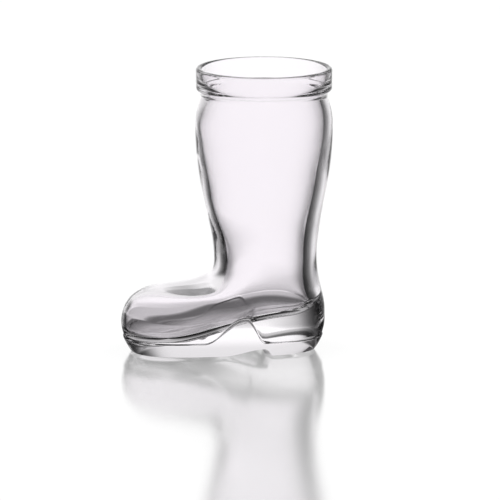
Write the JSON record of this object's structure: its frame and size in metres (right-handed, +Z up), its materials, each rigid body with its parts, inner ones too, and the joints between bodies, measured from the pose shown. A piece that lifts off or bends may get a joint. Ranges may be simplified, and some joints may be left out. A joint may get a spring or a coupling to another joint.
{
  "type": "boot shot glass",
  "caption": "Clear shot glass in the shape of a boot: round leg with a collared rim, hollow foot, thick sole and scooped arch in front of the heel.",
  "frame": {"origin": "middle of the glass's length and width, on the plane that the sole and heel stand on", "axes": "+Z up along the leg, the toe points along -X, and the XZ plane is the boot's plane of symmetry"},
  "size_m": [0.0626, 0.0406, 0.0846],
  "materials": {
    "clear_glass": "polished, clear, with a faint mauve cast in the thick parts"
  },
  "bodies": {
    "root": {"boot_glass": "clear_glass"}
  },
  "joints": []
}
